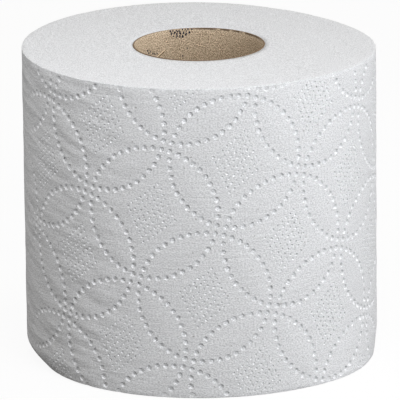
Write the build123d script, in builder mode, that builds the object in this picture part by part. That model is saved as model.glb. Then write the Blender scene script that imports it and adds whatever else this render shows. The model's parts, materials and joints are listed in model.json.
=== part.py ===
from build123d import *
from math import cos, degrees, floor, radians, sin, sqrt
import os

# Driving dimensions, in millimetres and degrees
# The roll of paper and the paperboard tube inside it
roll_diameter = 114.3
roll_height = 101.6
core_bore = 41.3
core_wall = 0.7

# The last sheet: its thickness, where it ends round from the front, and the angle over which
# the turn below it climbs back to the full diameter
sheet_thickness = 0.4
tail_bearing = 150.0
lap_angle = 24.0

# The winding that shows in both ends: the turns inside this radius stand a little lower
bundle_radius = 34.0
bundle_step = 0.12

# The pattern pressed into the flat sheet: rings of dots on a tilted square lattice. A ring
# shares a dot with its neighbour this many dots from the line between their centres, so
# two rings overlap in a pointed petal, and the petals stand up between the pressed lines
lattice_pitch = 32.26
lattice_tilt = 31.4
ring_dots = 48
shared_dot = 5.5
ring_line = 1.8
petal_height = 0.25
first_ring_along = 11.65
first_ring_up = 77.55

# Sizes worked out from those above
roll_radius = roll_diameter / 2
core_radius = core_bore / 2 + core_wall
girth = radians(360) * roll_radius
sheet_end = radians(tail_bearing) * roll_radius
sheet_start = sheet_end - girth
ring_radius = lattice_pitch / 2 / cos(radians(shared_dot * 360 / ring_dots))
petal_arc = ring_radius - ring_line / 2
petal_half_width = petal_arc - lattice_pitch / 2
petal_half_length = sqrt(petal_arc**2 - (lattice_pitch / 2) ** 2)
petal_root = petal_height + petal_half_length**2 / roll_radius

# The wall seen flat from the front, the winding with its x axis through the tail's edge, and
# the plane that the last sheet ends in
front = Plane(origin=(0, -roll_radius, 0), x_dir=(1, 0, 0), z_dir=(0, -1, 0))
winding = Plane(origin=(0, 0, 0), x_dir=Vector(1, 0, 0).rotate(Axis.Z, tail_bearing - 90))
tail_plane = Plane(origin=(0, 0, 0), x_dir=(0, 0, 1), z_dir=winding.y_dir)


def turn_outline(radius):
    """One turn of the winding: a circle that ends in a step down to the turn below."""
    with BuildSketch(winding) as outline:
        with BuildLine():
            sheet = CenterArc((0, 0), radius, lap_angle, 360 - lap_angle)
            foot = (sheet @ 1) * (1 - sheet_thickness / radius)
            Line(sheet @ 1, foot)
            TangentArc(sheet @ 0, foot, tangent=(sheet % 0) * -1)
        make_face()
    return outline.sketch


def petal(lean):
    """A petal at the front of the roll: two arcs that meet in sharp tips."""
    tip = (0, petal_half_length)
    root = (0, -petal_half_length)
    with BuildPart() as pad:
        with BuildSketch(front * Rotation(0, 0, lattice_tilt + lean)):
            with BuildLine():
                ThreePointArc(root, (petal_half_width, 0), tip)
                ThreePointArc(tip, (-petal_half_width, 0), root)
            make_face()
        extrude(amount=-petal_root)
    return pad.part


def petal_places(shift_i, shift_j):
    """The middles of the links of the ring lattice, as distances along and up the sheet."""
    step_along = lattice_pitch * cos(radians(lattice_tilt))
    step_up = lattice_pitch * sin(radians(lattice_tilt))
    overhang = petal_half_length / 4
    count = floor((girth + roll_height) / lattice_pitch)
    places = []
    for i in range(-count, count + 1):
        for j in range(-count, count + 1):
            along = first_ring_along + (i + shift_i) * step_along - (j + shift_j) * step_up
            up = first_ring_up + (i + shift_i) * step_up + (j + shift_j) * step_along
            on_sheet = sheet_start - overhang < along < sheet_end + overhang
            if on_sheet and -overhang < up < roll_height + overhang:
                places.append((along, up))
    return places


def wind(pad, places, side):
    """Pads set at places of the flat sheet, wound on, and kept on one side of the tail."""
    spots = [Location((0, 0, up), (0, 0, degrees(along / roll_radius))) for along, up in places]
    with BuildPart() as wound:
        with Locations(*spots):
            add(pad)
        if side is not Keep.ALL:
            split(bisect_by=tail_plane, keep=side)
    return wound.part


# The raised petals: those that cross an end of the sheet are cut off there
raised = []
for lean, shift_i, shift_j in ((0, 0.5, 0), (90, 0, 0.5)):
    groups = {Keep.TOP: [], Keep.ALL: [], Keep.BOTTOM: []}
    for along, up in petal_places(shift_i, shift_j):
        if along < sheet_start + petal_half_length:
            groups[Keep.TOP].append((along, up))
        elif along > sheet_end - petal_half_length:
            groups[Keep.BOTTOM].append((along, up))
        else:
            groups[Keep.ALL].append((along, up))
    for side, places in groups.items():
        if places:
            raised.append(wind(petal(lean), places, side))

# The roll of paper: its turns are one solid
with BuildPart() as tissue_roll:
    add(raised)
    add(turn_outline(roll_radius))
    extrude(amount=roll_height, mode=Mode.INTERSECT)
    with BuildSketch():
        add(turn_outline(roll_radius))
        offset(amount=-petal_height, kind=Kind.INTERSECTION)
    extrude(amount=roll_height)
    with BuildSketch(Plane.XY, Plane.XY.offset(roll_height - bundle_step)):
        add(turn_outline(bundle_radius))
    extrude(amount=bundle_step, mode=Mode.SUBTRACT)
    with BuildSketch():
        Circle(core_radius)
    extrude(amount=roll_height, mode=Mode.SUBTRACT)

os.makedirs("parts", exist_ok=True)
tissue_roll.part.label = "tissue_roll"
export_step(tissue_roll.part, "parts/tissue_roll.step")

# The paperboard tube that the paper is wound on
with BuildPart() as cardboard_core:
    with BuildSketch():
        Circle(core_radius)
        Circle(core_bore / 2, mode=Mode.SUBTRACT)
    extrude(amount=roll_height)

cardboard_core.part.label = "cardboard_core"
export_step(cardboard_core.part, "parts/cardboard_core.step")
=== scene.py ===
import json
from math import cos, pi, radians, sin

import bpy
import numpy as np
from mathutils import Matrix, Vector
from mathutils.geometry import delaunay_2d_cdt


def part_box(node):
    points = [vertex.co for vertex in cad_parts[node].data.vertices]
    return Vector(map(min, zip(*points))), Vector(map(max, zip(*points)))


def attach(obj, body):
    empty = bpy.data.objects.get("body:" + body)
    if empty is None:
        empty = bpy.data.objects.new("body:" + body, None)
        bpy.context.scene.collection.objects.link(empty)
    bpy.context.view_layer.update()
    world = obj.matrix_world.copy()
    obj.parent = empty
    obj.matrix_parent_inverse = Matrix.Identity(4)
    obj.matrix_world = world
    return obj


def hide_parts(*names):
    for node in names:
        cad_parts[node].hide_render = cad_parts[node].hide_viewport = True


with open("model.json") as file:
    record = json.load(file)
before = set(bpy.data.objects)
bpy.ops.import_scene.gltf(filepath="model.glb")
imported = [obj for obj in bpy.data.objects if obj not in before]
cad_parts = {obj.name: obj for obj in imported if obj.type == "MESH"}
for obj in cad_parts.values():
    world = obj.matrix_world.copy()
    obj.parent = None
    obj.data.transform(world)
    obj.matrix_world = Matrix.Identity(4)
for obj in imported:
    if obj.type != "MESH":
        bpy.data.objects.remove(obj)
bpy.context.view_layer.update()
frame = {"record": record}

MM = 0.001
chance = np.random.default_rng(7)

# Sizes that the frame gives, in metres
roll_low, roll_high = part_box("tissue_roll")
ROLL_RADIUS = (roll_high[0] - roll_low[0]) / 2
ROLL_HEIGHT = roll_high[2] - roll_low[2]
core_low, core_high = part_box("cardboard_core")
CORE_RADIUS = (core_high[0] - core_low[0]) / 2
bore = next(mount for mount in frame["record"]["mounts"] if mount["name"] == "bore")
BORE_RADIUS = bore["dims"]["r_mm"] * MM

# The last sheet and the winding, as in the part
SHEET_THICKNESS = 0.4 * MM
TAIL_BEARING = radians(150)
LAP_ANGLE = radians(24)
BUNDLE_RADIUS = 34 * MM
BUNDLE_STEP = 0.12 * MM
SHEET_END = TAIL_BEARING * ROLL_RADIUS
SHEET_START = SHEET_END - 2 * pi * ROLL_RADIUS
OPPOSITE_TAIL = TAIL_BEARING - pi

# The roll's rims, and its ends: how far they dip and ripple, and the slope of the bundle's edge
RIM_ROUND = 0.14 * MM
RIM_TURNS = (pi / 6, pi / 3, pi / 2)
END_DIP = 0.02 * MM
RIPPLE_LENGTH = 2.3 * MM
BUNDLE_SLOPE = 0.8 * MM
END_RINGS = 21

# The pressed pattern on the flat sheet: rings of dots on a tilted square lattice, and a
# diamond of fine dots in the middle of each ring. Two neighbouring rings share the dot that is
# SHARED_DOT steps round from the line between their middles
LATTICE_PITCH = 32.26 * MM
LATTICE_TILT = radians(31.4)
RING_DOTS = 48
SHARED_DOT = 5.5
FIRST_RING = np.array((11.65, 77.55)) * MM
FARTHEST_RING = 20
RING_RADIUS = LATTICE_PITCH / 2 / cos(2 * pi * SHARED_DOT / RING_DOTS)
FINE_PITCH = 1.82 * MM
FINE_ROWS = 8
FINE_ROW_ANGLE = radians(37.6)
FINE_COLUMN_ANGLE = radians(114.4)

# The dots of the rings and the fine ones: their radius and depth, how far they stray, and the
# faintest one's share of the depth
DOT_RADIUS = 0.93 * MM
DOT_DEPTH = 0.74 * MM
DOT_STRAY = 0.05 * MM
FAINTEST_DOT = 0.94
FINE_RADIUS = 0.46 * MM
FINE_DEPTH = 0.47 * MM
FINE_STRAY = 0.08 * MM
FAINTEST_FINE_DOT = 0.6

# Shares that are the same for both: the deepest one's depth, the range of their radius, and how
# much of the radius the flat floor of a dot takes up
DEEPEST = 1.1
NARROWEST = 0.95
WIDEST = 1.06
DOT_FLOOR = 0.6

# The soft swell between the rows of dots
PETAL_HEIGHT = 0.14 * MM
FIELD_HEIGHT = 0.08 * MM
PUFF_WIDTH = 3.4 * MM

# How the roll has slumped. A place is a bearing in degrees, counted to the right from the front,
# and how far the change spreads on each side of it
TOP_SAG = 2.0 * MM
SAG_PLACE = (120, 48)
FLOOR_LIFT = 0.7 * MM
LIFT_PLACE = (-94, 70)
ROLLED_IN = 3.8 * MM
ROLLED_IN_HEIGHT = 5.1 * MM
ROLLED_IN_PLACE = (-82, 25)
SPLAYED = 1.0 * MM
SPLAYED_PLACE = (54, 20)
TUCKED_IN = 0.8 * MM
TUCKED_IN_HEIGHT = 8 * MM
TUCKED_IN_PLACE = (86, 15)

# How unevenly the pattern is pressed: where the dots are wider and shallower, where they are
# rubbed flat, where the rings' dots are shallower and the fine ones deeper, and at the rims
HARD_PRESSED_PLACE = (-48, 16)
WIDENED = 0.15
SHALLOWED = 0.1
RUBBED_PLACE = (-92, 24)
RUBBING = 1.8
MOST_RUBBED = 0.9
SIDELONG_PLACE = (66, 20)
SIDELONG_CHANGE = 0.35
AT_RIM = 1.3 * DOT_RADIUS
PRESSED_AT_RIM = 0.35

# How far the pattern has crept up low down: all round, and further on the left. It has crept
# most at one height, and less above and below
CREEP = 0.4 * MM
LEFT_CREEP = 1.85 * MM
LEFT_CREEP_PLACE = (-92, 45)
CREEP_HEIGHT = 14 * MM
CREEP_SPREAD = 13 * MM

# How closely the wall's points are set: round each dot's rim and its floor, over the plain paper
# between the dots, and along the sheet's edges
DOT_POINTS = (12, 10)
FINE_DOT_POINTS = (8, 5)
PLAIN_STEP = 1.35 * MM
PLAIN_ROW_STEP = 0.87 * PLAIN_STEP
PLAIN_STRAY = 0.08 * MM
DOT_CLEARANCE = 0.35 * PLAIN_STEP
EDGE_STEP = 1.0 * MM
EDGE_MARGIN = 0.25 * MM
SAME_POINT = 1e-9

# The tube's mesh, and the marks in its bore
BOARD_ROUND = 0.18 * MM
BOARD_SIDES = 180
BOARD_ROW_STEP = 2.0 * MM
# The bearing of the painted shadow under the tube's rim
RIM_SHADOW_BEARING = radians(145)
LIFTED_PLY_PLACE = (radians(-143) - OPPOSITE_TAIL) * BORE_RADIUS
LIFTED_PLY_DEPTH = 7.4 * MM
LIFTED_PLY_REACH = 1.7 * MM
SPECK_SIDES = 8
SMALLEST_SPECK = 0.24 * MM
LARGEST_SPECK = 0.36 * MM
SPECK_STRAY = 0.1 * MM
INK_LIFT = 0.02 * MM

# The left of the roll, where the paper is creased
CREASED_BEARING = radians(-80)

# The floor's colour in the light of the lamps, the share of plain white that the camera sees
# instead, and how much light the floor gives back to the roll
FLOOR_SHADE = 0.95
FLOOR_WHITE = 0.92
FLOOR_BOUNCE = 0.04

# The sky's strength and the soft boxes: name, bearing to the right of the camera, elevation,
# distance, size and power
SKY = 0.485
LAMP_COLOUR = (0.96, 0.972, 1.0)
LAMPS = (
    ("key", 30, 22, 0.5, 0.2, 0.86),
    ("front", 0, 45, 0.5, 0.25, 0.393),
    ("side", 95, 26, 1.2, 0.6, 5.1),
    ("top", 0, 85, 1.2, 0.8, 0.65),
    ("high_left", -40, 62, 0.24, 0.1, 0.061),
    ("low_left", -68, 15, 0.17, 0.05, 0.0135),
)

# The camera, fitted to the photograph's outlines: its place in radii of the roll, how far it
# looks down, leans and swings, and its focal length in pixels of a picture this wide
CAMERA_DISTANCE = 32.709 * ROLL_RADIUS
CAMERA_HEIGHT = 10.1988 * ROLL_RADIUS
CAMERA_DIP = radians(15.93)
CAMERA_LEAN = radians(-0.628)
CAMERA_SWING = radians(0.005)
FOCAL_PIXELS = 5992
PICTURE_PIXELS = 400


# Shader maths


class Value:
    """An output socket that takes part in Python sums: each operation adds its Math node."""

    def __init__(self, sheet, socket):
        self.sheet = sheet
        self.socket = socket

    def __add__(self, other):
        return self.sheet.maths("ADD", self, other)

    def __radd__(self, other):
        return self.sheet.maths("ADD", other, self)

    def __sub__(self, other):
        return self.sheet.maths("SUBTRACT", self, other)

    def __rsub__(self, other):
        return self.sheet.maths("SUBTRACT", other, self)

    def __mul__(self, other):
        return self.sheet.maths("MULTIPLY", self, other)

    def __rmul__(self, other):
        return self.sheet.maths("MULTIPLY", other, self)

    def __truediv__(self, other):
        return self.sheet.maths("DIVIDE", self, other)

    def __rtruediv__(self, other):
        return self.sheet.maths("DIVIDE", other, self)

    def __pow__(self, other):
        return self.sheet.maths("POWER", self, other)

    def __rpow__(self, other):
        return self.sheet.maths("POWER", other, self)

    def ramp(self, low, high):
        """0 at low, 1 at high and smooth between, whichever of them is the larger."""
        inputs = {"Value": self, "From Min": low, "From Max": high}
        return self.sheet.node("ShaderNodeMapRange", {"interpolation_type": "SMOOTHSTEP"}, inputs)


class NodeSheet:
    """A node tree, with the one method that adds any node to it."""

    def __init__(self, tree):
        self.tree = tree

    def node(self, kind, settings=None, inputs=None, output=0):
        """Adds a node: first its settings, then the values or links of its sockets."""
        node = self.tree.nodes.new(kind)
        for name, setting in (settings or {}).items():
            setattr(node, name, setting)
        for key, value in (inputs or {}).items():
            self.join(value, node.inputs[key])
        return Value(self, node.outputs[output])

    def maths(self, operation, *operands):
        return self.node("ShaderNodeMath", {"operation": operation}, dict(enumerate(operands)))

    def join(self, value, socket):
        """Links a value to a socket, or sets the socket to a constant."""
        if isinstance(value, Value):
            self.tree.links.new(value.socket, socket)
        else:
            socket.default_value = value


class Finish(NodeSheet):
    """A material: a shader whose sockets take constants, or values worked out from the place."""

    def __init__(self, name, **constants):
        self.material = bpy.data.materials.new(name)
        self.material.use_nodes = True
        super().__init__(self.material.node_tree)
        self.shader = self.tree.nodes["Principled BSDF"]
        self.wear(**constants)

    def wear(self, **sockets):
        """Joins values or constants to the shader's own sockets."""
        for socket, value in sockets.items():
            self.join(value, self.shader.inputs[socket.replace("_", " ")])
        return self.material

    def place(self):
        """The point on the object, in metres."""
        return self.node("ShaderNodeTexCoord", output="Object")

    def axes(self, vector):
        parts = self.node("ShaderNodeSeparateXYZ", inputs={"Vector": vector})
        return [Value(self, socket) for socket in parts.socket.node.outputs]

    def vector(self, x, y, z):
        return self.node("ShaderNodeCombineXYZ", inputs={"X": x, "Y": y, "Z": z})

    def turn_from_tail(self, x, y):
        """The bearing round the roll, half a turn each way from opposite the tail's edge."""
        sideways = x * cos(OPPOSITE_TAIL) + y * sin(OPPOSITE_TAIL)
        return self.maths("ARCTAN2", sideways, towards(OPPOSITE_TAIL, x, y))

    def noise(self, vector, scale, detail, roughness=0.5):
        """Soft noise, from 0 to 1: its waves per metre, its finer layers and their strength."""
        inputs = {"Vector": vector, "Scale": scale, "Detail": detail, "Roughness": roughness}
        return self.node("ShaderNodeTexNoise", inputs=inputs)

    def mix(self, factor, first, second):
        """A colour between two colours."""
        return self.node("ShaderNodeMix", {"data_type": "RGBA"}, {0: factor, 6: first, 7: second}, output=2)

    def bump(self, height, distance):
        """A normal that follows a height, where 1 stands for a distance."""
        return self.node("ShaderNodeBump", inputs={"Height": height, "Distance": distance})


def towards(bearing, x, y):
    """How far a point lies towards a bearing round the roll."""
    return x * sin(bearing) - y * cos(bearing)


# The finishes and their colours


def grey(level, warmth=0.0):
    """A near-neutral colour, a little warmer or colder."""
    return (level * (1 + warmth), level, level * (1 - warmth), 1.0)


# The paper's fibres: their darker end is partly the paper's own grain, partly painted shade of the fibres'
# tiny shadows
PALE_FIBRES = grey(1.0, -0.012)
DULL_AND_SHADED_FIBRES = grey(0.69, -0.016)
CLOUDED_PAPER = grey(0.80, -0.016)
DARK_FLECK = grey(0.3, 0.04)
PALE_EDGES = grey(0.87, -0.014)
DULL_EDGES = grey(0.62, -0.016)
RINGED_EDGES = grey(0.71, -0.016)
PALE_PULP = (0.535, 0.425, 0.305, 1)
DARK_PULP = (0.44, 0.345, 0.24, 1)
PALE_GRAIN = (0.90, 0.75, 0.55, 1)
DARK_GRAIN = (0.15, 0.105, 0.06, 1)
# The painted shadow under part of the tube's rim
RIM_SHADOW_COLOUR = (0.07, 0.04, 0.02, 1)
# Brown of the cut ends, also used for the painted shadow below the lifted ply
BROWN_CUT_AND_PLY_SHADOW = (0.16, 0.10, 0.05, 1)
PALE_PLY = (0.9, 0.76, 0.55, 1)
THICK_INK = (0.008, 0.01, 0.02, 1)
THIN_INK = (0.02, 0.025, 0.045, 1)


def tissue_finish():
    """Soft two-ply paper: matte, with fibre grain that is partly painted shade, fine creping across,
    loose creases and slanting folds on the left, and a few dark flecks."""
    paper = Finish("embossed_tissue", Roughness=0.95, Specular_IOR_Level=0.15)
    x, y, z = paper.axes(paper.place())
    along = paper.turn_from_tail(x, y) * ROLL_RADIUS
    flat = paper.vector(along, z, 0.0)
    clouds = paper.noise(flat, 160.0, 3.0)
    creping = paper.noise(paper.vector(along * 0.12, z, 0.0), 700.0, 3.0, 0.6)
    fibres = paper.noise(paper.vector(along * 0.6, z, 0.0), 2600.0, 1.0, 0.8)
    # Fibre grain in the colour, partly painted shade standing in for the fibres' tiny shadows
    colour = paper.mix(fibres.ramp(0.3, 0.7), DULL_AND_SHADED_FIBRES, PALE_FIBRES)
    colour = paper.mix(clouds.ramp(0.3, 0.7) * 0.12, colour, CLOUDED_PAPER)
    fleck = paper.noise(flat, 900.0, 0.0).ramp(0.80, 0.83)
    colour = paper.mix(fleck * 0.5, colour, DARK_FLECK)

    # How slack the paper is, round the left of the roll, and its creases and folds there
    slack = (towards(CREASED_BEARING, x, y) / ROLL_RADIUS).ramp(0.3, 0.9)
    loose = slack * clouds.ramp(0.3, 0.5)
    stretched = paper.vector(along * 0.2, z + along * 0.18, 0.0)
    creases = paper.noise(stretched, 380.0, 2.0)
    folds = paper.noise(stretched, 200.0, 1.0)
    relief = fibres * 0.7 + creping * 1.2 + clouds * 0.5 + loose * creases * 1.2 + slack * folds * 5.5
    return paper.wear(Base_Color=colour, Normal=paper.bump(relief, 0.16 * MM))


def cut_edge_finish():
    """The ends of the turns: the sheets' sawn edges, felted together in faint rings."""
    paper = Finish("sawn_tissue_edges", Roughness=0.97, Specular_IOR_Level=0.15)
    x, y, z = paper.axes(paper.place())
    radius = (x * x + y * y) ** 0.5
    bearing = paper.turn_from_tail(x, y)
    winding = radius + bearing * (SHEET_THICKNESS / (2 * pi))
    rings = paper.noise(paper.vector(winding * 3.0, bearing * 0.004, 0.0), 1100.0, 3.0, 0.6)
    mottle = paper.noise(paper.place(), 260.0, 3.0, 0.6)
    fuzz = paper.noise(paper.place(), 3000.0, 0.0)
    colour = paper.mix(fuzz.ramp(0.3, 0.7), DULL_EDGES, PALE_EDGES)
    colour = paper.mix(rings.ramp(0.35, 0.75) * 0.15, colour, RINGED_EDGES)
    relief = rings * 0.4 + mottle * 0.25 + fuzz * 0.45
    return paper.wear(Base_Color=colour, Normal=paper.bump(relief, 0.12 * MM))


def board_finish():
    """Recycled paperboard: tan pulp with pale and dark fibres, brown cut ends, a painted shadow as a
    dark line under part of the rim, and a ply's edge that lifts in one place, with a painted shadow below
    it."""
    board = Finish("recycled_paperboard", Roughness=0.85, Specular_IOR_Level=0.3)
    x, y, z = board.axes(board.place())
    radius = (x * x + y * y) ** 0.5
    around = board.turn_from_tail(x, y) * BORE_RADIUS
    flat = board.vector(around, z, 0.0)
    pulp = board.noise(flat, 350.0, 3.0, 0.6)
    grain = board.noise(flat, 2700.0, 1.0, 0.8)
    colour = board.mix(pulp.ramp(0.3, 0.7), DARK_PULP, PALE_PULP)
    colour = board.mix(grain.ramp(0.5, 0.68) * 0.95, colour, PALE_GRAIN)
    colour = board.mix(grain.ramp(0.5, 0.32) * 0.95, colour, DARK_GRAIN)

    # A painted shadow, in a thin dark line on the bore under the rim, and the cut end
    depth = ROLL_HEIGHT - z
    in_wall = radius - BORE_RADIUS
    on_bore = in_wall.ramp(0.3 * MM, 0.1 * MM)
    near_rim_shadow = (towards(RIM_SHADOW_BEARING, x, y) / BORE_RADIUS).ramp(0.62, 0.9)
    rim_shadow = depth.ramp(0.6 * MM, 0.4 * MM) * on_bore * near_rim_shadow * pulp.ramp(0.3, 0.5)
    colour = board.mix(rim_shadow * 0.9, colour, RIM_SHADOW_COLOUR)
    cut_end = in_wall.ramp(0.05 * MM, 0.2 * MM) * depth.ramp(0.3 * MM, 0.1 * MM)
    colour = board.mix(cut_end * 0.9, colour, BROWN_CUT_AND_PLY_SHADOW)

    # The ply's edge: pale, with a painted shadow in a dark line below it, along a short slanting stretch
    from_ply = around - LIFTED_PLY_PLACE
    from_edge = depth - LIFTED_PLY_DEPTH - from_ply * 0.6
    stretch = from_ply / LIFTED_PLY_REACH
    on_stretch = (stretch * stretch).ramp(1.0, 0.8)
    pale_edge = (from_edge * from_edge).ramp(0.06 * MM**2, 0.02 * MM**2) * on_stretch
    from_shade = from_edge - 0.4 * MM
    shade = (from_shade * from_shade).ramp(0.08 * MM**2, 0.02 * MM**2) * on_stretch
    colour = board.mix(shade, colour, BROWN_CUT_AND_PLY_SHADOW)
    colour = board.mix(pale_edge, colour, PALE_PLY)
    relief = pulp * 0.4 + grain * 0.6
    return board.wear(Base_Color=colour, Normal=board.bump(relief, 0.12 * MM))


def ink_finish():
    """Dark ink that has soaked into the board."""
    ink = Finish("dark_ink", Roughness=0.8, Specular_IOR_Level=0.2)
    blot = ink.noise(ink.place(), 3000.0, 1.0)
    return ink.wear(Base_Color=ink.mix(blot, THICK_INK, THIN_INK))


# The pressed pattern, laid out flat


def bell(bearing, middle, spread):
    """1 at a bearing in degrees, falling away on both sides."""
    off = (np.degrees(bearing) - middle + 180) % 360 - 180
    return np.exp(-((off / spread) ** 2))


def turned(angle, length):
    """A step of a length on the flat sheet, at an angle from its long edge."""
    return np.array((cos(angle), sin(angle))) * length


def ring_centres():
    """The middle of every ring whose dots can reach the last turn of the sheet."""
    along_link = turned(LATTICE_TILT, LATTICE_PITCH)
    up_link = turned(LATTICE_TILT + pi / 2, LATTICE_PITCH)
    steps = range(-FARTHEST_RING, FARTHEST_RING + 1)
    centres = np.array([FIRST_RING + i * along_link + j * up_link for i in steps for j in steps])
    along, up = centres.T
    reach = 1.2 * RING_RADIUS
    near = (along > SHEET_START - reach) & (along < SHEET_END + reach)
    near &= (up > -reach) & (up < ROLL_HEIGHT + reach)
    return centres[near]


def ring_dots():
    """One ring's dots, from its middle. Those that it shares with the ring behind or below are
    left to that ring."""
    behind, below = RING_DOTS / 2, RING_DOTS * 3 / 4
    shared = [middle + side * SHARED_DOT for middle in (behind, below) for side in (-1, 1)]
    turns = [count + 0.5 for count in range(RING_DOTS) if count + 0.5 not in shared]
    return np.array([turned(LATTICE_TILT + 2 * pi * turn / RING_DOTS, RING_RADIUS) for turn in turns])


def fine_dots():
    """The diamond of fine dots, from a ring's middle."""
    steps = np.arange(FINE_ROWS) - (FINE_ROWS - 1) / 2
    row = turned(FINE_ROW_ANGLE, FINE_PITCH)
    column = turned(FINE_COLUMN_ANGLE, FINE_PITCH)
    return np.array([m * row + n * column for m in steps for n in steps])


def stamped(layout, radius, depth, stray, faintest):
    """One kind of dot at every ring, as rows of along, up, radius and depth, none quite like
    the next."""
    spots = (ring_centres()[:, None, :] + layout[None, :, :]).reshape(-1, 2)
    spots = spots + chance.normal(0, stray, spots.shape)
    radii = radius * chance.uniform(NARROWEST, WIDEST, len(spots))
    depths = depth * chance.uniform(faintest, DEEPEST, len(spots))
    return np.column_stack((spots, radii, depths))


def pressed_dots():
    """All the dots of the last turn, as rows of along, up, radius and depth, pressed unevenly.
    Where the paper is rubbed, the fine dots go first."""
    ring_kind = stamped(ring_dots(), DOT_RADIUS, DOT_DEPTH, DOT_STRAY, FAINTEST_DOT)
    fine_kind = stamped(fine_dots(), FINE_RADIUS, FINE_DEPTH, FINE_STRAY, FAINTEST_FINE_DOT)
    along, up, radius, depth = np.concatenate((ring_kind, fine_kind)).T.copy()
    fine = np.arange(len(along)) >= len(ring_kind)
    bearing = along / ROLL_RADIUS

    hard_pressed = bell(bearing, *HARD_PRESSED_PLACE)
    radius *= 1 + WIDENED * hard_pressed
    depth *= 1 - SHALLOWED * hard_pressed
    rubbed = np.clip(RUBBING * bell(bearing, *RUBBED_PLACE), 0, MOST_RUBBED)
    depth *= (1 - rubbed) ** np.where(fine, 2, 1)
    depth *= 1 + np.where(fine, 1, -1) * SIDELONG_CHANGE * bell(bearing, *SIDELONG_PLACE)

    low_down = np.exp(-(((up - CREEP_HEIGHT) / CREEP_SPREAD) ** 2))
    up += (CREEP + LEFT_CREEP * bell(bearing, *LEFT_CREEP_PLACE)) * low_down
    depth[(up < AT_RIM) | (up > ROLL_HEIGHT - AT_RIM)] *= PRESSED_AT_RIM
    on_sheet = (along > SHEET_START) & (along < SHEET_END)
    on_sheet &= (up > -DOT_RADIUS) & (up < ROLL_HEIGHT + DOT_RADIUS)
    return np.column_stack((along, up, radius, depth))[on_sheet]


def dimple(share):
    """The share of a dot's depth at a share of its radius: all on its flat floor, none at its rim."""
    return 1 - np.clip((share - DOT_FLOOR) / (1 - DOT_FLOOR), 0, 1)


def dents(points, dots):
    """How deep the dots press at any points, worked out dot by dot."""
    depth = np.zeros(len(points))
    for along, up, radius, press in dots:
        share = np.hypot(points[:, 0] - along, points[:, 1] - up) / radius
        depth = np.maximum(depth, press * dimple(share))
    return depth


def quilting(points):
    """The soft swell between the rows of dots: petals stand highest, then the rings' middles."""
    nearest = np.full(len(points), 1.0)
    inside = np.zeros(len(points))
    for centre in ring_centres():
        from_ring = RING_RADIUS - np.hypot(*(points - centre).T)
        nearest = np.minimum(nearest, np.abs(from_ring))
        inside += from_ring > 0
    puff = 1 - np.exp(-((nearest / PUFF_WIDTH) ** 2))
    return puff * np.where(inside >= 2, PETAL_HEIGHT, FIELD_HEIGHT) - PETAL_HEIGHT


# The wall of the roll, still flat


def spaced(low, high, step):
    """Even places from low to high, about a step apart."""
    return np.linspace(low, high, round((high - low) / step) + 1)


def sheet_edges():
    """Even places along the sheet's long edges, and up its short ones between the corners."""
    edge = spaced(SHEET_START, SHEET_END, EDGE_STEP)
    side = spaced(RIM_ROUND, ROLL_HEIGHT - RIM_ROUND, EDGE_STEP)[1:-1]
    return edge, side


def border_points(edge, side):
    """The sheet's border: its bottom and top edges, then its two upright ones."""
    return np.concatenate((
        np.column_stack((edge, np.full(len(edge), RIM_ROUND))),
        np.column_stack((edge, np.full(len(edge), ROLL_HEIGHT - RIM_ROUND))),
        np.column_stack((np.full(len(side), SHEET_START), side)),
        np.column_stack((np.full(len(side), SHEET_END), side)),
    ))


def dot_points(dots):
    """Each dot's rim and floor edge as small rings of points, with their depths and dot numbers.
    Points too near to the border are left out."""
    points, depths, owners = [], [], []
    for number, (along, up, radius, press) in enumerate(dots):
        phase = chance.uniform(0, 2 * pi)
        counts = DOT_POINTS if radius > (DOT_RADIUS + FINE_RADIUS) / 2 else FINE_DOT_POINTS
        for share, count in zip((1.0, DOT_FLOOR), counts):
            angles = phase + 2 * pi * np.arange(count) / count
            ring = radius * share * np.column_stack((np.cos(angles), np.sin(angles)))
            points.append(np.array((along, up)) + ring)
            depths.append(np.full(count, press * dimple(share)))
            owners.append(np.full(count, number))
    points, depths, owners = np.concatenate(points), np.concatenate(depths), np.concatenate(owners)
    along, up = points.T
    keep = (along > SHEET_START + EDGE_MARGIN) & (along < SHEET_END - EDGE_MARGIN)
    keep &= (up > RIM_ROUND + EDGE_MARGIN) & (up < ROLL_HEIGHT - RIM_ROUND - EDGE_MARGIN)
    return points[keep], depths[keep], owners[keep]


def plain_points(dots):
    """Thin and nearly even points of the paper between the dots."""
    columns = spaced(SHEET_START + PLAIN_STEP, SHEET_END - PLAIN_STEP, PLAIN_STEP)
    rows = spaced(RIM_ROUND + PLAIN_STEP, ROLL_HEIGHT - RIM_ROUND - PLAIN_STEP, PLAIN_ROW_STEP)
    points = np.array([(a + (n % 2) * PLAIN_STEP / 2, up) for n, up in enumerate(rows) for a in columns])
    points += chance.normal(0, PLAIN_STRAY, points.shape)
    clear = points[:, 0] < SHEET_END - EDGE_MARGIN
    for along, up, radius, _ in dots:
        apart = (points[:, 0] - along) ** 2 + (points[:, 1] - up) ** 2
        clear &= apart > (radius + DOT_CLEARANCE) ** 2
    return points[clear]


def sheet_points(dots, border):
    """All the points of the flat sheet, the border's first, with their depths and dot numbers."""
    pressed, depths, owners = dot_points(dots)
    plain = plain_points(dots)
    points = np.concatenate((border, pressed, plain))
    depths = np.concatenate((dents(border, dots), depths, np.zeros(len(plain))))
    owners = np.concatenate((np.full(len(border), -1), owners, np.full(len(plain), -1)))
    return points, depths, owners


def with_crisp_dots(triangles, depths, owners):
    """The triangles, with the steep walls of the dots cut loose along their rims and floors, so
    that the shading doesn't run over these edges. Also the point each vertex belongs to."""
    corners = np.array(triangles)
    owner, depth = owners[corners], depths[corners]
    one_dot = (owner.min(axis=1) == owner.max(axis=1)) & (owner[:, 0] >= 0)
    walls = one_dot & (depth.max(axis=1) - depth.min(axis=1) > 0.5 * depth.max(axis=1))
    twins = np.unique(corners[walls])
    corners[walls] = len(owners) + np.searchsorted(twins, corners[walls])
    return corners.tolist(), np.concatenate((np.arange(len(owners)), twins))


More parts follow.
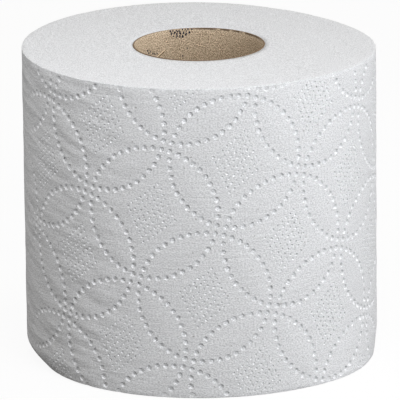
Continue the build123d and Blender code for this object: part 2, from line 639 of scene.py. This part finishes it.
# The roll, wound up


def turn_radius(along, radius=ROLL_RADIUS):
    """The winding's own radius: full, but for the turn that climbs back out from under the tail."""
    past_tail = (along - SHEET_START) / ROLL_RADIUS / LAP_ANGLE
    return radius - SHEET_THICKNESS * np.clip(1 - past_tail, 0, 1) ** 2


def wound(along, radius, up):
    """Points in space, from distance along the sheet, radius and height."""
    bearing = along / ROLL_RADIUS
    return np.column_stack((radius * np.sin(bearing), -radius * np.cos(bearing), up))


def end_level(radius, along):
    """How far an end face lies below the roll's full height: a bundle of turns stands lower."""
    inside = np.clip((turn_radius(along, BUNDLE_RADIUS) - radius) / BUNDLE_SLOPE, 0, 1)
    ripple = END_DIP * np.sin(radius / RIPPLE_LENGTH + along / ROLL_RADIUS)
    return BUNDLE_STEP * inside + END_DIP + ripple


def end_rings(rim_radius, rim_up, outward, along):
    """One end, as the radius and height of each ring of its points: round the rim, and then
    inwards to the tube."""
    rings = []
    for turn in RIM_TURNS:
        ring_radius = rim_radius - RIM_ROUND * (1 - cos(turn))
        rings.append((ring_radius, rim_up + outward * (RIM_ROUND - END_DIP) * sin(turn)))
    end_up = rim_up + outward * RIM_ROUND
    for share in np.linspace(0, 1, END_RINGS + 1)[1:]:
        ring_radius = (rim_radius - RIM_ROUND) * (1 - share) + CORE_RADIUS * share
        rings.append((ring_radius, end_up - outward * end_level(ring_radius, along)))
    return rings


def settled(vertices):
    """The roll as it has slumped: the top rim sunk behind on the right, and the bottom rim
    pushed up a little and rolled in on the left, spread on the right and tucked in beyond."""
    x, y, z = vertices.T
    bearing = np.arctan2(x, -y)
    radius = np.hypot(x, y)

    # The changes fade away from the rims, over half of the radius and a quarter of the height
    near_rim = np.clip(radius / ROLL_RADIUS * 2 - 1, 0, 1) ** 1.5
    near_top = np.clip(z / ROLL_HEIGHT * 4 - 3, 0, 1) ** 2
    near_floor = np.clip(1 - z / ROLL_HEIGHT * 4, 0, 1) ** 2
    lowest = np.clip(1 - z / ROLLED_IN_HEIGHT, 0, 1) ** 2
    low = np.clip(1 - z / TUCKED_IN_HEIGHT, 0, 1)

    sunk = TOP_SAG * bell(bearing, *SAG_PLACE) * near_top
    pushed = FLOOR_LIFT * bell(bearing, *LIFT_PLACE) * near_floor
    rolled_in = ROLLED_IN * bell(bearing, *ROLLED_IN_PLACE) * lowest
    splayed = SPLAYED * bell(bearing, *SPLAYED_PLACE) * near_floor
    tucked_in = TUCKED_IN * bell(bearing, *TUCKED_IN_PLACE) * low
    shrink = 1 - (rolled_in + tucked_in - splayed) * near_rim / radius
    return np.column_stack((x * shrink, y * shrink, z + (pushed - sunk) * near_rim))


def strip(first, second):
    """Quads between two rows of vertex numbers."""
    return [(a, b, d, c) for a, b, c, d in zip(first, first[1:], second, second[1:])]


def mesh_piece(name, vertices, faces, finishes, face_finish=None):
    """A piece with smooth faces, in one finish, or with the number of each face's finish."""
    mesh = bpy.data.meshes.new(name)
    mesh.from_pydata([tuple(vertex) for vertex in vertices], [], faces)
    for finish in finishes:
        mesh.materials.append(finish)
    mesh.polygons.foreach_set("use_smooth", [True] * len(faces))
    if face_finish is not None:
        mesh.polygons.foreach_set("material_index", face_finish)
    mesh.update()
    piece = bpy.data.objects.new(name, mesh)
    bpy.context.scene.collection.objects.link(piece)
    return piece


def make_roll():
    """The paper: an embossed wall, softened rims, and both ends down to the tube."""
    edge, side = sheet_edges()
    points, depths, owners = sheet_points(pressed_dots(), border_points(edge, side))
    flat_points = [Vector(point) for point in points]
    triangles = delaunay_2d_cdt(flat_points, [], [], 0, SAME_POINT, False)[2]
    radius = turn_radius(points[:, 0]) + quilting(points) - depths
    faces, sources = with_crisp_dots(triangles, depths, owners)
    vertices = [wound(points[:, 0], radius, points[:, 1])[sources]]
    total = len(sources)

    # The step at the tail joins the sheet's two upright edges
    bottom = list(range(len(edge)))
    top = list(range(len(edge), 2 * len(edge)))
    start, end = (2 * len(edge) + np.arange(2 * len(side))).reshape(2, -1).tolist()
    faces += strip([bottom[-1], *end, top[-1]], [bottom[0], *start, top[0]])
    wall_faces = len(faces)

    # Both ends, and the hidden bore between their inner rings
    inner_rings = []
    for rim, rim_up, outward in ((bottom, RIM_ROUND, -1), (top, ROLL_HEIGHT - RIM_ROUND, 1)):
        previous = rim
        for ring_radius, up in end_rings(radius[rim], rim_up, outward, edge):
            vertices.append(wound(edge, ring_radius, np.zeros(len(edge)) + up))
            current = list(range(total, total + len(edge)))
            total += len(edge)
            faces += strip(previous, current) if outward > 0 else strip(current, previous)
            previous = current
        inner_rings.append(previous)
    faces += strip(inner_rings[1], inner_rings[0])

    face_finish = [0] * wall_faces + [1] * (len(faces) - wall_faces)
    finishes = [tissue_finish(), cut_edge_finish()]
    roll = mesh_piece("paper_roll", settled(np.concatenate(vertices)), faces, finishes, face_finish)
    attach(roll, "root")
    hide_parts("tissue_roll")


# The tube


def make_core():
    """The paperboard tube: two walls, with cut ends a little rounded."""
    heights = spaced(BOARD_ROUND, ROLL_HEIGHT - BOARD_ROUND, BOARD_ROW_STEP)
    profile = [(BORE_RADIUS, height) for height in heights]
    profile += [(BORE_RADIUS + BOARD_ROUND, ROLL_HEIGHT), (CORE_RADIUS - BOARD_ROUND, ROLL_HEIGHT)]
    profile += [(CORE_RADIUS, height) for height in heights[::-1]]
    profile += [(CORE_RADIUS - BOARD_ROUND, 0.0), (BORE_RADIUS + BOARD_ROUND, 0.0)]
    bearings = 2 * pi * np.arange(BOARD_SIDES) / BOARD_SIDES
    vertices, rows = [], []
    for radius, height in profile:
        first = len(vertices)
        vertices += [(radius * sin(bearing), -radius * cos(bearing), height) for bearing in bearings]
        rows.append([*range(first, len(vertices)), first])
    faces = []
    for row, next_row in zip(rows, rows[1:] + rows[:1]):
        faces += strip(next_row, row)
    core = mesh_piece("core_tube", vertices, faces, [board_finish()])
    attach(core, "root")
    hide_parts("cardboard_core")


def speck_places():
    """Where ink sits on the tube's inner wall, in metres: sideways from the middle of its back,
    and depth. A wide patch narrows downwards, a small one slants, and two specks are strays."""
    places = []
    for row, count in enumerate((8, 7, 7, 5, 3)):
        middle = -5.9 - 0.1 * row
        places += [(middle + 1.02 * (n - (count - 1) / 2), 0.35 + 0.6 * row) for n in range(count)]
    for row, count in enumerate((2, 2, 4)):
        places += [(-19.4 + n + 0.8 * row, 5.2 + 0.9 * row) for n in range(count)]
    places += [(-5.3, 9.0), (-3.8, 6.5)]
    return np.array(places) * MM


def make_ink_specks():
    """Specks of ink on the tube's inner wall, each one small face."""
    radius = BORE_RADIUS - INK_LIFT
    places = speck_places()
    vertices, faces = [], []
    for sideways, depth in places + chance.normal(0, SPECK_STRAY, places.shape):
        size = chance.uniform(SMALLEST_SPECK, LARGEST_SPECK)
        faces.append(tuple(range(len(vertices), len(vertices) + SPECK_SIDES)))
        for n in range(SPECK_SIDES):
            angle = 2 * pi * n / SPECK_SIDES
            bearing = pi + (sideways - size * cos(angle)) / BORE_RADIUS
            up = ROLL_HEIGHT - depth + size * sin(angle)
            vertices.append((-radius * sin(bearing), -radius * cos(bearing), up))
    specks = mesh_piece("ink_specks", vertices, faces, [ink_finish()])
    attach(specks, "root")


# The stage, the light and the camera


def make_floor():
    """A pale floor that the camera sees as nearly white, and that keeps the roll's soft shadow."""
    size = 6.0
    corners = [(-size, -size, 0), (size, -size, 0), (size, size, 0), (-size, size, 0)]
    paint = Finish("pale_floor", Roughness=1.0)
    seen = paint.node("ShaderNodeLightPath", output="Is Camera Ray")
    paint.wear(Base_Color=paint.mix(seen, grey(FLOOR_BOUNCE), grey(FLOOR_SHADE)))
    white = paint.node("ShaderNodeEmission", inputs={"Color": grey(1.0), "Strength": 1.0})
    lit = Value(paint, paint.shader.outputs[0])
    mixed = paint.node("ShaderNodeMixShader", inputs={0: seen * FLOOR_WHITE, 1: lit, 2: white})
    paint.join(mixed, paint.tree.nodes["Material Output"].inputs["Surface"])
    floor = mesh_piece("floor", corners, [(0, 1, 2, 3)], [paint.material])


def make_lamp(name, bearing, elevation, distance, size, power):
    """A square soft box, a little cool, that looks at the middle of the roll."""
    lamp = bpy.data.lights.new(name, "AREA")
    lamp.shape = "SQUARE"
    lamp.size = size
    lamp.energy = power
    lamp.color = LAMP_COLOUR
    side, rise = radians(bearing), radians(elevation)
    middle = Vector((0, 0, ROLL_HEIGHT / 2))
    away = Vector((cos(rise) * sin(side), -cos(rise) * cos(side), sin(rise)))
    light = bpy.data.objects.new(name, lamp)
    light.location = middle + distance * away
    light.rotation_euler = away.to_track_quat("Z", "Y").to_euler()
    bpy.context.scene.collection.objects.link(light)


def make_world():
    """Even sky light, seen by the camera as white."""
    world = bpy.data.worlds.new("studio")
    world.use_nodes = True
    bpy.context.scene.world = world
    sheet = NodeSheet(world.node_tree)
    seen = sheet.node("ShaderNodeLightPath", output="Is Camera Ray")
    sky = sheet.node("ShaderNodeBackground", inputs={"Color": grey(1.0, 0.035), "Strength": SKY})
    white = sheet.node("ShaderNodeBackground", inputs={"Color": grey(1.0), "Strength": 1.0})
    mixed = sheet.node("ShaderNodeMixShader", inputs={0: seen, 1: sky, 2: white})
    sheet.join(mixed, world.node_tree.nodes["World Output"].inputs["Surface"])


def make_camera():
    """The photograph's view: from far off, looking down a little, and a touch off level."""
    data = bpy.data.cameras.new("camera")
    data.sensor_width = 36
    data.lens = data.sensor_width * FOCAL_PIXELS / PICTURE_PIXELS
    data.clip_end = 20
    camera = bpy.data.objects.new("camera", data)
    forward = Vector((0, cos(CAMERA_DIP), -sin(CAMERA_DIP)))
    level_up = Vector((0, sin(CAMERA_DIP), cos(CAMERA_DIP)))
    level_right = Vector((1, 0, 0))
    right = cos(CAMERA_LEAN) * level_right + sin(CAMERA_LEAN) * level_up
    up = cos(CAMERA_LEAN) * level_up - sin(CAMERA_LEAN) * level_right
    swing = Matrix.Rotation(CAMERA_SWING, 3, "Z")
    right, up, forward = swing @ right, swing @ up, swing @ forward
    camera.matrix_world = Matrix((
        (right.x, up.x, -forward.x, 0.0),
        (right.y, up.y, -forward.y, -CAMERA_DISTANCE),
        (right.z, up.z, -forward.z, CAMERA_HEIGHT),
        (0.0, 0.0, 0.0, 1.0),
    ))
    bpy.context.scene.collection.objects.link(camera)
    bpy.context.scene.camera = camera


make_roll()
make_core()
make_ink_specks()
make_floor()
make_world()
for lamp in LAMPS:
    make_lamp(*lamp)
make_camera()
bpy.context.scene.view_settings.view_transform = "Standard"
